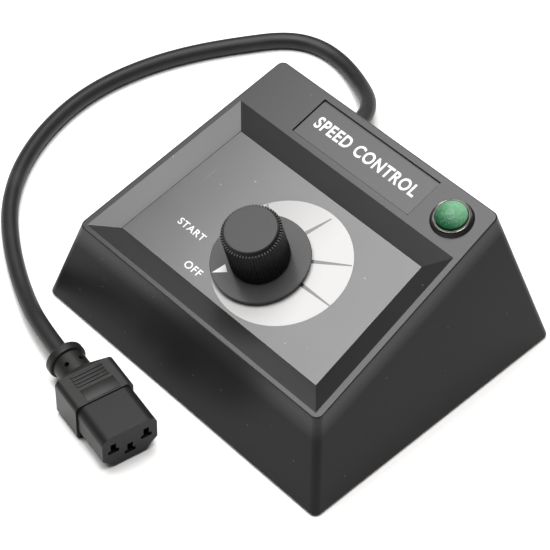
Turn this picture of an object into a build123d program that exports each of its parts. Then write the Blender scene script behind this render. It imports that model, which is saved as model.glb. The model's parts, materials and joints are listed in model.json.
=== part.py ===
from build123d import *
from math import cos, sin, tan, radians, pi
import os

# Tabletop dial speed control for a flexible-shaft tool.
# Millimetres. Z is up and 0 is the table, +X is the user's right and +Y points away from the user.
# The origin is the middle of the console's base rectangle.

# ---- driving dimensions: the moulded shell ----
BASE_W, BASE_D = 150.0, 130.0          # outline at the shell's lower edge
FOOT_LIFT = 1.5                        # rubber feet hold the lower edge this far off the table
FRONT_H = 39.2                         # shell height at the panel's front edge
SLOPE = 16.0                           # panel rises towards the back, degrees
SIDE_DRAFT, FRONT_DRAFT, BACK_DRAFT = 14.5, 12.8, 17.0   # each wall leans inwards, degrees
WALL = 2.5
CORNER_R, RIM_R = 3.0, 0.7             # upright corners, and the edge round the panel

# ---- the sunk field of the panel ----
FIELD_DEPTH = 3.7
FIELD_BEVEL = 8.9                      # width of the sloping border round the field's floor
FIELD_FRONT, FIELD_BACK = 1.9, 80.0    # where its rim starts and ends, up the slope
FIELD_SIDE = 2.6                       # rim left standing at each side
OVERLAY_T = 0.3                        # printed dial plate let into the floor

# ---- things set in the panel, as (across, up the slope) ----
DIAL_AT = (0.2, 34.7)
LAMP_AT = (44.8, 92.0)
NAME_AT = (0.0, 92.0)
NAME_W, NAME_D, NAME_T = 61.5, 18.4, 0.9
NAME_SHIFT = (0.3, -0.45)              # the plate sits low and right in its pocket

# ---- knob, measured above the dial plate ----
SKIRT_R, SKIRT_LOW, SKIRT_TOP = 19.4, 1.4, 2.5
HUB_R = 11.0                           # plain neck that the skirt is held on
KNOB_LOW_R, KNOB_TOP_R = 11.8, 11.6
KNOB_LOW, KNOB_SHOULDER, KNOB_TOP = 3.6, 20.6, 21.9
KNOB_FLUTES, FLUTE_DEPTH = 60, 0.4
CAP_R, CAP_TOP, CAP_T = 10.2, 23.2, 1.6
SHAFT_R, SHAFT_TOP, RUN_GAP = 3.0, 16.6, 0.05
INSERT_R, INSERT_LOW, INSERT_TOP = 5.0, 6.4, 17.0
SET_SCREW_R, SET_SCREW_Z = 1.5, 11.0
OFF_ANGLE = -121.0                     # where the pointer stands at OFF, from the panel's right

# ---- potentiometer and switch, below the panel ----
BUSH_R, CAN_R, CAN_DEPTH, SWITCH_DEPTH = 4.5, 12.0, 9.5, 8.0

# ---- base, board and inlet ----
PLATE_T, PLATE_GAP = 2.5, 0.25
BOSS_X, BOSS_FRONT, BOSS_BACK, BOSS_R, BOSS_TOP = 64.5, -54.0, 52.0, 4.2, 24.0
SCREW_R, SCREW_HEAD_R = 1.5, 3.0
FOOT_X, FOOT_Y, FOOT_R = 52.0, 47.0, 6.5
BOARD_W, BOARD_D, BOARD_T, BOARD_Z = 80.0, 56.0, 1.6, 10.0
BOARD_AT = (-14.0, 18.0)
INLET_X, INLET_Z = 30.0, 32.0
GLAND_X, GLAND_Z = -50.0, 14.0

# ---- output cord and its connector ----
CORD_D, CORD_Z = 7.1, 3.6
GLAND_LEN = 17.6
CORD_POINTS = [
    (-50.0, 71.0, 14.0), (-50.6, 88.0, 13.5), (-59.0, 100.5, 9.8), (-71.5, 109.0, 5.4),
    (-88.5, 115.5, CORD_Z), (-104.5, 115.5, CORD_Z), (-117.5, 108.0, CORD_Z), (-128.6, 90.0, CORD_Z),
    (-138.3, 71.5, CORD_Z), (-145.2, 52.5, CORD_Z), (-149.0, 32.5, CORD_Z), (-149.2, 14.5, CORD_Z),
    (-146.0, -3.0, CORD_Z), (-140.2, -19.5, CORD_Z), (-131.5, -35.0, CORD_Z), (-120.0, -48.5, CORD_Z),
    (-107.0, -58.8, CORD_Z), (-92.0, -68.0, CORD_Z), (-76.5, -75.7, 4.2), (-59.0, -83.0, 8.0),
    (-39.2, -87.0, 9.3),
]
PLUG_FACE = (9.0, -95.8)               # middle of the connector's front face on the table
PLUG_HEADING = -10.3
NOSE_W, NOSE_H, NOSE_LEN, NOSE_CHAMFER, NOSE_ROUND = 23.4, 17.0, 18.0, 5.0, 4.0
NOSE_RISE = 0.2                        # the nose sits this far above the grip's middle
SLOT_RISE = 1.7                        # and the line and neutral entries this far
GRIP_W, GRIP_H, GRIP_LEN, GRIP_ROUND = 24.8, 18.6, 15.2, 2.6
PLUG_AXIS_Z = GRIP_H / 2                # the grip lies flat on the table
BARREL_R, BARREL_LEN, COLLAR_R, COLLAR_LEN = 6.7, 12.2, 7.9, 3.8
BARREL_HOLE_R, BARREL_HOLE_TURN = 1.0, 28.0   # a pair of holes, either side of the top
PIN_PITCH, PIN_DROP = 14.0, 4.0        # line to neutral, and how far below them earth sits
INLET_RISE = 1.0                       # the inlet's line and neutral pins above its middle

# ---- planes worked out from the driving dimensions ----
front_y = -BASE_D / 2 + FRONT_H * tan(radians(FRONT_DRAFT))
rise = tan(radians(SLOPE))
back_h = (FRONT_H + rise * (BASE_D / 2 - front_y)) / (1 + rise * tan(radians(BACK_DRAFT)))
back_y = BASE_D / 2 - back_h * tan(radians(BACK_DRAFT))
slope_len = (back_y - front_y) / cos(radians(SLOPE))
panel = Plane(origin=(0, front_y, FOOT_LIFT + FRONT_H), x_dir=(1, 0, 0),
              z_dir=(0, -sin(radians(SLOPE)), cos(radians(SLOPE))))
front_half = BASE_W / 2 - FRONT_H * tan(radians(SIDE_DRAFT))
back_half = BASE_W / 2 - back_h * tan(radians(SIDE_DRAFT))


def leaning(x, y, draft):
    """The outer plane of one wall; x, y is the way it faces and where its foot is."""
    reach = Vector(x * BASE_W / 2, y * BASE_D / 2, FOOT_LIFT)
    c, s = cos(radians(draft)), sin(radians(draft))
    return Plane(origin=reach, x_dir=(-y, x, 0), z_dir=(x * c, y * c, s))


walls = [leaning(1, 0, SIDE_DRAFT), leaning(-1, 0, SIDE_DRAFT),
         leaning(0, -1, FRONT_DRAFT), leaning(0, 1, BACK_DRAFT)]
back_wall = walls[3]


def on_panel(at, height=0.0):
    """A plane parallel to the panel, centred on a spot of it, that far above it."""
    return Plane(origin=panel.from_local_coords((at[0], at[1], height)), x_dir=panel.x_dir,
                 z_dir=panel.z_dir)


dial_plane = on_panel(DIAL_AT, -FIELD_DEPTH)
lamp_plane = on_panel(LAMP_AT)


def post(r, low, high, at=(0, 0)):
    """An upright cylinder between two heights."""
    return Pos(at[0], at[1], low) * Cylinder(r, high - low, align=(Align.CENTER, Align.CENTER, Align.MIN))


def ring(r_out, r_in, low, high, at=(0, 0)):
    return post(r_out, low, high, at) - post(r_in, low - 1, high + 1, at)


def slab(w, d, low, high, at=(0, 0)):
    """A box between two heights, centred on a spot."""
    return Pos(at[0], at[1], low) * Box(w, d, high - low, align=(Align.CENTER, Align.CENTER, Align.MIN))


def wedge(inset=0.0, bottom=FOOT_LIFT, corner=CORNER_R):
    """The console's solid outline, with every wall moved inwards by inset."""
    block = slab(BASE_W + 20, BASE_D + 20, bottom, 95)
    for wall in walls + [panel]:
        block = split(block, bisect_by=wall.offset(-inset), keep=Keep.BOTTOM)
    upright = [e for e in block.edges() if e.bounding_box().size.Z > FRONT_H - 8
               and abs(e.tangent_at(0.5).X) > 0.1 and abs(e.tangent_at(0.5).Y) > 0.1]
    return fillet(upright, corner)


def field(top, depth, grow=0.0):
    """The sunk field from a little above plane top down to depth, grown sideways by grow."""
    def outline(n):
        inset = -n * FIELD_BEVEL / FIELD_DEPTH - grow
        low, high = FIELD_FRONT + inset, FIELD_BACK - inset
        half = [front_half + (back_half - front_half) * v / slope_len - FIELD_SIDE - inset
                for v in (low, high)]
        return top.offset(n) * Polygon((-half[0], low), (half[0], low), (half[1], high), (-half[1], high),
                                       align=None)
    return loft([outline(0.6), outline(-depth)])


def floor_slab(thickness, gap, above=0.0):
    """The flat floor of the field as a thin slab that hangs down from it."""
    inset = FIELD_BEVEL + gap
    low, high = FIELD_FRONT + inset, FIELD_BACK - inset
    half = [front_half + (back_half - front_half) * v / slope_len - FIELD_SIDE - inset
            for v in (low, high)]
    outline = Polygon((-half[0], low), (half[0], low), (half[1], high), (-half[1], high), align=None)
    return extrude(panel.offset(above - FIELD_DEPTH) * outline, -(thickness + above))


# ---------------------------------------------------------------- shell and base

def inlet_plane():
    """On the back wall's outer face, square to it, with its Y up the wall."""
    spot = back_wall.to_local_coords(Vector(INLET_X, BASE_D / 2 - (INLET_Z - FOOT_LIFT) *
                                            tan(radians(BACK_DRAFT)), INLET_Z))
    origin = back_wall.from_local_coords(Vector(spot.X, spot.Y, 0))
    return Plane(origin=origin, x_dir=(-1, 0, 0), z_dir=back_wall.z_dir)


inlet = inlet_plane()
gland_y = BASE_D / 2 - (GLAND_Z - FOOT_LIFT) * tan(radians(BACK_DRAFT))
gland_plane = Plane(origin=(GLAND_X, gland_y, GLAND_Z), x_dir=(-1, 0, 0), z_dir=(0, 1, 0))
boss_spots = [(x, y) for x in (-BOSS_X, BOSS_X) for y in (BOSS_FRONT, BOSS_BACK)]


def make_housing():
    shell = wedge()
    lid = max(shell.faces(), key=lambda f: f.normal_at().dot(panel.z_dir))
    shell = fillet(lid.edges(), RIM_R)
    hollow = wedge(WALL, FOOT_LIFT - 5, 1.2) - field(panel.offset(-WALL - OVERLAY_T), FIELD_DEPTH, WALL)
    shell = shell - hollow
    for spot in boss_spots:
        shell = shell + (post(BOSS_R, FOOT_LIFT + PLATE_T, BOSS_TOP, spot) & wedge(WALL / 2, 0))
    for spot in boss_spots:
        shell = shell - post(SCREW_R, FOOT_LIFT, BOSS_TOP - 3, spot)
    shell = shell - field(panel, FIELD_DEPTH) - floor_slab(OVERLAY_T, -0.15, 0.5)
    shell = shell - on_panel(NAME_AT, -NAME_T) * slab(NAME_W, NAME_D, 0, 3)
    shell = shell - dial_plane * post(BUSH_R + 0.1, -9, 9)
    shell = shell - lamp_plane * post(6.1, -9, 9)
    shell = shell - inlet * slab(27.6, 20.2, -6, 6)
    for side in (-20, 20):
        shell = shell - inlet * post(1.7, -6, 6, (side, 0))
    return shell - gland_plane * post(6.2, -9, 9)


def make_base_plate():
    plate = wedge(WALL + PLATE_GAP, FOOT_LIFT, 1.0) & slab(200, 200, FOOT_LIFT, FOOT_LIFT + PLATE_T)
    for spot in boss_spots:
        head = Pos(spot[0], spot[1], FOOT_LIFT + 0.8) * Cone(SCREW_HEAD_R + 0.3, SCREW_R + 0.1, 1.6)
        plate = plate - head - post(SCREW_R + 0.1, 0, 6, spot)
    for x in (-FOOT_X, FOOT_X):
        for y in (-FOOT_Y, FOOT_Y):
            plate = plate - post(FOOT_R + 0.1, 0, FOOT_LIFT + 0.8, (x, y))
    for row in range(9):
        plate = plate - slab(34, 2.6, 0, 6, (0, -20 + 5.2 * row))
    for x in (-36, 36):
        for y in (-25, 25):
            spot = (BOARD_AT[0] + x, BOARD_AT[1] + y)
            plate = plate + post(3.4, FOOT_LIFT + 1, BOARD_Z, spot)
            plate = plate - post(1.25, FOOT_LIFT + 2, BOARD_Z + 1, spot)
    return plate


def make_base_screws():
    top = FOOT_LIFT + PLATE_T + 11
    made = []
    for spot in boss_spots:
        head = Pos(spot[0], spot[1], FOOT_LIFT + 0.9) * Cone(SCREW_HEAD_R, SCREW_R, 1.4)
        screw = head + post(SCREW_R, FOOT_LIFT + 1.2, top, spot)
        for turn in (0, 90):
            screw = screw - Pos(spot[0], spot[1], FOOT_LIFT) * Rot(0, 0, turn) * Box(3.2, 0.7, 2.2)
        made.append(screw)
    return made


def make_feet():
    made = []
    for x in (-FOOT_X, FOOT_X):
        for y in (-FOOT_Y, FOOT_Y):
            foot = post(FOOT_R, 0, FOOT_LIFT + 0.8, (x, y))
            made.append(chamfer(foot.edges().sort_by(Axis.Z)[0], 0.5))
    return made


def make_dial_plate():
    return floor_slab(OVERLAY_T, 0.0) - dial_plane * post(BUSH_R + 0.1, -9, 9)


def make_name_plate():
    plate = on_panel(NAME_AT, -NAME_T) * Pos(*NAME_SHIFT) * slab(NAME_W - 0.9, NAME_D - 1.2, 0, NAME_T - 0.1)
    return fillet(plate.edges().filter_by(Axis(panel.origin, panel.z_dir)), 0.6)


# ---------------------------------------------------------------- knob, skirt and shaft

def make_knob_skirt():
    disc = ring(SKIRT_R, HUB_R, SKIRT_LOW, SKIRT_TOP)
    outer = disc.edges().filter_by(GeomType.CIRCLE).sort_by(SortBy.RADIUS)[-2:]
    return dial_plane * chamfer(outer, 0.25)


def fluted(r, height):
    """A circle with shallow V flutes, at one height."""
    points = []
    for k in range(2 * KNOB_FLUTES):
        a = pi * k / KNOB_FLUTES
        reach = r - FLUTE_DEPTH * (k % 2)
        points.append((reach * cos(a), reach * sin(a)))
    return Pos(0, 0, height) * Polygon(*points, align=None)


def make_knob():
    body = loft([fluted(KNOB_LOW_R, KNOB_LOW), fluted(KNOB_TOP_R, KNOB_SHOULDER)])
    shoulder_r = KNOB_TOP_R - FLUTE_DEPTH - 0.05
    shoulder = Cone(shoulder_r, CAP_R + 0.15, KNOB_TOP - KNOB_SHOULDER,
                    align=(Align.CENTER, Align.CENTER, Align.MIN))
    body = body + Pos(0, 0, KNOB_SHOULDER) * shoulder + post(HUB_R, SKIRT_LOW + 0.1, KNOB_LOW + 0.1)
    body = body - post(8.8, 0, INSERT_LOW) - post(INSERT_R, 6, INSERT_TOP)
    body = body - post(CAP_R, CAP_TOP - CAP_T, CAP_TOP + 1)
    return dial_plane * (body - screw_way(SET_SCREW_R + 0.1, 4, 16))


def screw_way(r, start, end):
    """A radial cylinder on the side away from the pointer, for the set screw."""
    turn = OFF_ANGLE + 180
    return Rot(0, 0, turn) * Pos(start, 0, SET_SCREW_Z) * Rot(0, 90, 0) * post(r, 0, end - start)


def make_knob_cap():
    cap = post(CAP_R, CAP_TOP - CAP_T, CAP_TOP)
    rim = cap.edges().sort_by(Axis.Z)[-1]
    return dial_plane * fillet(rim, 0.5)


def make_knob_insert():
    return dial_plane * (ring(INSERT_R, SHAFT_R, INSERT_LOW, INSERT_TOP) - screw_way(SET_SCREW_R, 2, 8))


def make_set_screw():
    grub = screw_way(SET_SCREW_R, SHAFT_R, 9.2)
    key = extrude(RegularPolygon(0.8, 6), 3)
    socket = Rot(0, 0, OFF_ANGLE + 180) * Pos(7.7, 0, SET_SCREW_Z) * Rot(0, 90, 0) * key
    return dial_plane * (grub - socket)


shaft_low = -2.8 - CAN_DEPTH           # shaft end, inside the can


def make_pot_shaft():
    shaft = post(SHAFT_R, shaft_low, SHAFT_TOP)
    return dial_plane * chamfer(shaft.edges().sort_by(Axis.Z)[-1], 0.4)


# ---------------------------------------------------------------- potentiometer and switch

under = -OVERLAY_T - WALL              # the panel's inner face, below the dial plate's top


def make_pot_bushing():
    body = post(BUSH_R, under, 5.4) + post(CAN_R - 0.6, under - 1.2, under)
    return dial_plane * (body - post(SHAFT_R + RUN_GAP, under - 2, 6))


def make_pot_washer():
    return dial_plane * ring(7.0, BUSH_R + 0.05, 0, 0.6)


def make_pot_nut():
    nut = extrude(RegularPolygon(6.9, 6), 2.3) - post(BUSH_R, -1, 3)
    return dial_plane * Pos(0, 0, 0.6) * nut


can_top, can_low = under - 1.2, under - 1.2 - CAN_DEPTH


def make_pot_can():
    can = post(CAN_R, can_low, can_top) - post(CAN_R - 0.6, can_low + 0.6, can_top + 1)
    return dial_plane * (can - slab(18, 8, can_top - 3.4, can_top + 1, (0, -CAN_R)))


def make_pot_track():
    wafer = ring(CAN_R - 0.7, SHAFT_R + 1, can_top - 1.6, can_top)
    return dial_plane * (wafer + slab(17, 5.4, can_top - 1.6, can_top, (0, -CAN_R - 1)) -
                         post(SHAFT_R + 1, can_top - 3, can_top + 1))


def make_pot_terminals():
    lugs = []
    for x in (-5.5, 0, 5.5):
        lug = slab(2.4, 9, can_top - 2.2, can_top - 1.6, (x, -CAN_R - 4))
        lug = lug - post(0.7, -30, 0, (x, -CAN_R - 7))
        lugs.append(dial_plane * lug)
    return lugs


def make_pot_wiper():
    """Insulating hub with a springy arm that presses its contact on the carbon track."""
    hub = ring(5.2, SHAFT_R, can_top - 7.0, can_top - 3.0)
    arm = Rot(0, 0, OFF_ANGLE) * slab(6.0, 2.4, can_top - 3.6, can_top - 3.0, (7.0, 0))
    contact = Rot(0, 0, OFF_ANGLE) * post(0.9, can_top - 3.2, can_top - 1.65, (8.6, 0))
    return dial_plane * (hub + arm + contact)


def make_switch_case():
    return dial_plane * post(CAN_R - 0.5, can_low - SWITCH_DEPTH, can_low)


def make_switch_terminals():
    low = can_low - SWITCH_DEPTH
    return [dial_plane * slab(4.0, 0.8, low - 6, low, (x, y)) for x in (-5, 5) for y in (-4, 4)]


# ---------------------------------------------------------------- pilot lamp

def make_lamp_bezel():
    flange = Cone(8.5, 7.6, 1.5, align=(Align.CENTER, Align.CENTER, Align.MIN))
    body = flange + post(6.0, -20, 0.5) - post(4.9, -18.5, 1) - post(6.2, 0.3, 4)
    for x in (-1.2, 1.2):
        body = body - post(0.5, -21, -18, (x, 0))
    return lamp_plane * body


def make_lamp_ring():
    return lamp_plane * fillet(ring(7.5, 6.3, 1.5, 2.1).edges().sort_by(Axis.Z)[-2:], 0.25)


def make_lamp_lens():
    """Green dome with a plain skirt that drops into the bezel."""
    dome = post(6.1, 0.35, 3.0) + (Pos(0, 0, -2.7) * Sphere(8.35) & post(6.1, 2.9, 9))
    return lamp_plane * (dome - post(4.6, 0, 1.6) - (Pos(0, 0, -1.5) * Sphere(5.4) & post(4.6, 0.5, 9)))


def make_lamp_nut():
    nut = post(8.4, -WALL - 3.0, -WALL) - post(6.0, -12, 2)
    return lamp_plane * nut


def make_neon_bulb():
    return lamp_plane * (post(2.2, -12, -1.5) + Pos(0, 0, -1.5) * Sphere(2.2))


def make_lamp_leads():
    return [lamp_plane * post(0.4, -26, -12, (x, 0)) for x in (-1.2, 1.2)]


# ---------------------------------------------------------------- circuit board

def on_board(dx, dy, made):
    return Pos(BOARD_AT[0] + dx, BOARD_AT[1] + dy, BOARD_Z + BOARD_T) * made


def lay_down(made):
    """Turns an upright part so that it lies along X."""
    return Rot(0, 90, 0) * made


def make_circuit_board():
    board = slab(BOARD_W, BOARD_D, BOARD_Z, BOARD_Z + BOARD_T, BOARD_AT)
    for x in (-36, 36):
        for y in (-25, 25):
            board = board - post(1.6, 0, 20, (BOARD_AT[0] + x, BOARD_AT[1] + y))
    return board


def make_board_screws():
    made = []
    for x in (-36, 36):
        for y in (-25, 25):
            screw = post(2.6, 0, 1.6) + post(1.25, -6.5, 0)
            screw = screw - Pos(0, 0, 1.6) * Box(4, 0.6, 1.2)
            made.append(on_board(x, y, screw))
    return made


def make_heat_sink():
    sink = slab(3, 30, 0, 20)
    for k in range(5):
        sink = sink + slab(8, 1.6, 0, 20, (4.5, -14.2 + 7.1 * k))
    sink = sink - Pos(0, 0, 16.6) * lay_down(post(1.5, -3, 0.9))
    return on_board(20, 4, sink)


def make_triac():
    body = slab(4.4, 10, 5, 14) + slab(1.3, 10, 5, 18.6, (1.55, 0))
    for y in (-2.5, 0, 2.5):
        body = body + slab(0.6, 0.8, 0, 5.5, (-0.8, y))
    return on_board(16.2, 4, body - Rot(0, 90, 0) * post(1.6, -3, 3, (-16.6, 0)))


def make_triac_screw():
    screw = lay_down(post(1.5, 0, 3.8) + post(2.4, -1.6, 0))
    return on_board(17.1, 4, Pos(0, 0, 16.6) * screw)


def make_choke_core():
    return on_board(-26, 6, ring(10.5, 5.5, 1.2, 9.2))


def make_choke_winding():
    turns = []
    for k in range(18):
        loop = Pos(7.9, 0, 5.2) * (Box(8.2, 1.0, 10.2) - Box(5.8, 2, 8.0))
        turns.append(on_board(-26, 6, Rot(0, 0, 20 * k) * loop))
    return turns


def make_capacitors():
    return [on_board(-24, -14, slab(18, 8.5, 0, 14)), on_board(-2, -17, slab(13, 6, 0, 10))]


def make_resistors():
    made = []
    for k in range(3):
        body = lay_down(post(1.5, -4, 4)) + lay_down(post(0.35, -6, 6))
        body = body + post(0.35, -2, 0, (-6, 0)) + post(0.35, -2, 0, (6, 0))
        made.append(on_board(0, -8 + 5 * k, Pos(0, 0, 2.2) * body))
    return made


def make_terminal_block():
    block = slab(25, 10, 0, 11)
    for k in range(5):
        x = -10 + 5 * k
        block = block - post(1.9, 7, 12, (x, 1.5)) - slab(3.4, 6, 2, 5.6, (x, 4))
    return on_board(0, 21, block)


def make_terminal_screws():
    made = []
    for k in range(5):
        screw = post(1.8, 7.0, 9.0) - Pos(0, 0, 9.0) * Box(4, 0.6, 1.2)
        made.append(on_board(-10 + 5 * k, 22.5, screw))
    return made


def make_fuse_clips():
    made = []
    for x in (-8.5, 8.5):
        clip = slab(4, 7.4, 0, 6.4) - slab(6, 5.2, 0.6, 7) + slab(4, 1.4, 0, 0.8)
        made.append(on_board(28 - 5, -19, Pos(x, 0, 0) * clip))
    return made


def make_fuse():
    return on_board(23, -19, Pos(0, 0, 3.6) * lay_down(post(2.5, -10, 10)))


# ---------------------------------------------------------------- appliance inlet on the back wall

def make_inlet_shell():
    """Three-pin appliance inlet; its mouth takes a matching lead."""
    flange = fillet(slab(50, 23.5, 0, 2.6).edges().filter_by(Axis.Z), 4)
    shell = flange + slab(27, 19.6, -20, 1)
    mouth = slab(24.6, 16.6, -16, 4)
    mouth = chamfer(mouth.edges().filter_by(Axis.Z).sort_by(Axis.Y)[:2], 3.6)
    shell = shell - mouth
    for side in (-20, 20):
        shell = shell - post(1.7, -1, 4, (side, 0))
    for x, y in inlet_pin_spots():
        shell = shell - slab(2, 4, -24, -10, (x, y))
    return inlet * shell


def inlet_pin_spots():
    return [(-PIN_PITCH / 2, INLET_RISE), (PIN_PITCH / 2, INLET_RISE), (0, INLET_RISE - PIN_DROP)]


def make_inlet_pins():
    return [inlet * slab(2, 4, -27, -2, spot) for spot in inlet_pin_spots()]


def make_inlet_screws():
    made = []
    for side in (-20, 20):
        screw = post(3.0, 2.6, 4.4, (side, 0)) + post(1.5, -7.5, 2.6, (side, 0))
        screw = screw - Pos(side, 0, 4.4) * Box(0.8, 7, 1.6)
        made.append(inlet * screw)
    return made


def make_inlet_nuts():
    return [inlet * Pos(side, 0, -WALL - 2.4) * (extrude(RegularPolygon(3.1, 6), 2.4) - post(1.5, -1, 4))
            for side in (-20, 20)]


# ---------------------------------------------------------------- gland, cord and connector

def make_cord_gland():
    """Bushing through the back wall with a tapered sleeve outside."""
    out = 2.6
    body = post(6.1, -7, out) + post(8.4, 0.2 + out, 2.4 + out) + post(7.2, -7, -5.0)
    sleeve = Cone(5.6, 4.7, GLAND_LEN - 2.4, align=(Align.CENTER, Align.CENTER, Align.MIN))
    sleeve = Pos(0, 0, 2.4 + out) * sleeve
    bore = post(CORD_D / 2, -20, 40)
    return gland_plane * (body + post(6.1, out - 0.5, out + 1) + sleeve - bore)


def cord_path():
    runs = [Vector(*b) - Vector(*a) for a, b in zip(CORD_POINTS, CORD_POINTS[1:])]
    radii = [0.45 * min(p.length, q.length) / tan(radians(p.get_angle(q)) / 2)
             for p, q in zip(runs, runs[1:])]
    return FilletPolyline(*CORD_POINTS, radius=radii), radii


def make_cord():
    path, _ = cord_path()
    start = Plane(origin=path @ 0, z_dir=path % 0)
    return sweep(start * Circle(CORD_D / 2), path=path)


plug = Plane(origin=(PLUG_FACE[0], PLUG_FACE[1], PLUG_AXIS_Z),
             x_dir=(-sin(radians(PLUG_HEADING)), cos(radians(PLUG_HEADING)), 0),
             z_dir=(cos(radians(PLUG_HEADING)), sin(radians(PLUG_HEADING)), 0))


def plug_slots(low, high):
    """Upright slots with a wider foot."""
    return [slab(2.4, 5.2, low, high, spot) + slab(4.6, 1.9, low, high, (spot[0], spot[1] - 1.65))
            for spot in plug_slot_spots()]


def plug_slot_spots():
    return [(x, y + SLOT_RISE - INLET_RISE) for x, y in inlet_pin_spots()]


def nose_block(low, high):
    block = slab(NOSE_W, NOSE_H, low, high, (0, NOSE_RISE))
    upright = block.edges().filter_by(Axis.Z)
    block = chamfer(upright.sort_by(Axis.Y)[:2], NOSE_CHAMFER)
    return fillet(block.edges().filter_by(Axis.Z).sort_by(Axis.Y)[-2:], NOSE_ROUND)


def make_connector_nose():
    """Hard insert with the three entries, held in the moulded grip."""
    nose = nose_block(-NOSE_LEN - 8, 0)
    for slot in plug_slots(-15, 1):
        nose = nose - slot
    return plug * nose


def make_connector_contacts():
    made = []
    for x, y in plug_slot_spots():
        clip = slab(2.4, 4.8, -14.9, -4, (x, y)) - slab(1.8, 6, -14, 1, (x, y))
        made.append(plug * clip)
    return made


def make_connector_body():
    """Soft over-moulding: grip, round barrel and end collar, with ribs for the thumb."""
    back = -NOSE_LEN - GRIP_LEN
    grip = slab(GRIP_W, GRIP_H, back, -NOSE_LEN)
    grip = fillet(grip.edges().filter_by(Axis.Z), GRIP_ROUND)
    shoulder = loft([Pos(0, 0, back) * RectangleRounded(GRIP_W, GRIP_H, GRIP_ROUND),
                     Pos(0, 0, back - 3.0) * RectangleRounded(16.0, 15.0, 6.4)])
    grip = grip + shoulder
    for k in range(4):
        rib = Pos(0, GRIP_H / 2, back + 2.2 + 1.9 * k) * Box(13.5, 1.0, 0.9)
        grip = grip + fillet(rib.edges().filter_by(Axis.X), 0.3)
    grip = grip & slab(40, 2 * PLUG_AXIS_Z, -80, 0)
    barrel = post(BARREL_R, back - BARREL_LEN, back)
    collar_low = back - BARREL_LEN - COLLAR_LEN
    collar = post(COLLAR_R, collar_low, collar_low + COLLAR_LEN)
    collar = fillet(collar.edges().filter_by(GeomType.CIRCLE), 0.8)
    body = grip + barrel + collar - nose_block(-NOSE_LEN - 8, 5)
    for turn in (-BARREL_HOLE_TURN, BARREL_HOLE_TURN):
        hole = Rot(-90, 0, 0) * post(BARREL_HOLE_R, BARREL_R - 2.2, 12)
        body = body - Pos(0, 0, back - 7.5) * Rot(0, 0, turn) * hole
    return plug * (body - post(CORD_D / 2, collar_low - 5, collar_low + 4))


# ---------------------------------------------------------------- internal wiring

def wire(points, r=0.8):
    """An insulated wire along straight runs with tight bends."""
    path = FilletPolyline(*points, radius=2.2) if len(points) > 2 else Polyline(*points)
    return sweep(Plane(origin=path @ 0, z_dir=path % 0) * Circle(r), path=path)


board_top = BOARD_Z + BOARD_T


def make_output_leads():
    """Three conductors from the gland to the terminal block."""
    made = []
    for k in range(3):
        start, lane, end = GLAND_X - 2.2 + 2.2 * k, 46.6 + 2.0 * k, BOARD_AT[0] - 10 + 5 * k
        made.append(wire([(start, gland_y - 7.5, GLAND_Z), (start, lane, 15.4), (end, lane, 15.4),
                          (end, 41.2, 15.4)]))
    return made


def make_lamp_wires():
    made = []
    for k, x in enumerate((1.2, -1.2)):
        tip = lamp_plane.from_local_coords((x, 0, -26.8))
        end, height = 19.5 - 2.5 * k, 38.5 - 2.5 * k
        made.append(wire([tuple(tip), (tip.X, 28, height), (end, 28, height), (end, 28, board_top)], 0.7))
    return made


def make_inlet_wires():
    """From the inlet's pins forward, then down to the edge of the board."""
    made = []
    edge = 23.0
    for lane, (x, y) in zip((14, 20, 6), inlet_pin_spots()):
        tip = inlet.from_local_coords((x, y, -27.2))
        turn = (tip.X, lane, tip.Z - 3)
        across = [(edge, lane, turn[2])] if tip.X > edge + 1 else []
        made.append(wire([tuple(tip), turn] + across + [(min(tip.X, edge), lane, board_top)]))
    return made


def make_pot_wires():
    """From the track's lugs down and back under the switch to the board."""
    made = []
    for x in (-5.5, 0, 5.5):
        tip = dial_plane.from_local_coords((x, -CAN_R - 7, can_top - 2.4))
        made.append(wire([tuple(tip), (tip.X, tip.Y, 16), (tip.X, -8, 16), (tip.X, -8, board_top)]))
    return made


def make_switch_wires():
    made = []
    for x in (-5, 5):
        tip = dial_plane.from_local_coords((x, 4, can_low - SWITCH_DEPTH - 6.2))
        made.append(wire([tuple(tip), (x / 2, -5.5, board_top + 0.5)]))
    return made


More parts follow.
